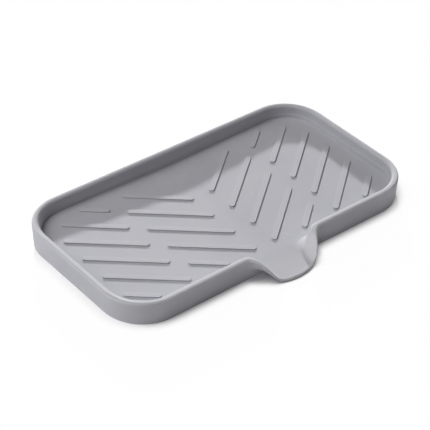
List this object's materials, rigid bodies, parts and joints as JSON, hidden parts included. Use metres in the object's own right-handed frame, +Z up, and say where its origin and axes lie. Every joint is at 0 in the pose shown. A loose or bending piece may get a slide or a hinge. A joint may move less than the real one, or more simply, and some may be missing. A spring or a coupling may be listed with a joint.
{
  "type": "kitchen sink caddy tray",
  "caption": "Shallow rounded rectangular silicone drip tray with raised slanting drain ribs and a pouring spout in the middle of one long side.",
  "frame": {"origin": "on the plane that the foot ring stands on, under the middle of the rounded rectangular rim, leaving the spout out", "axes": "+X along the tray's length, -Y towards the pouring spout, +Z up out of the open side"},
  "size_m": [0.2498, 0.1522, 0.0173],
  "materials": {
    "silicone": "fine matte"
  },
  "bodies": {
    "root": {"silicone_tray": "silicone"}
  },
  "joints": []
}
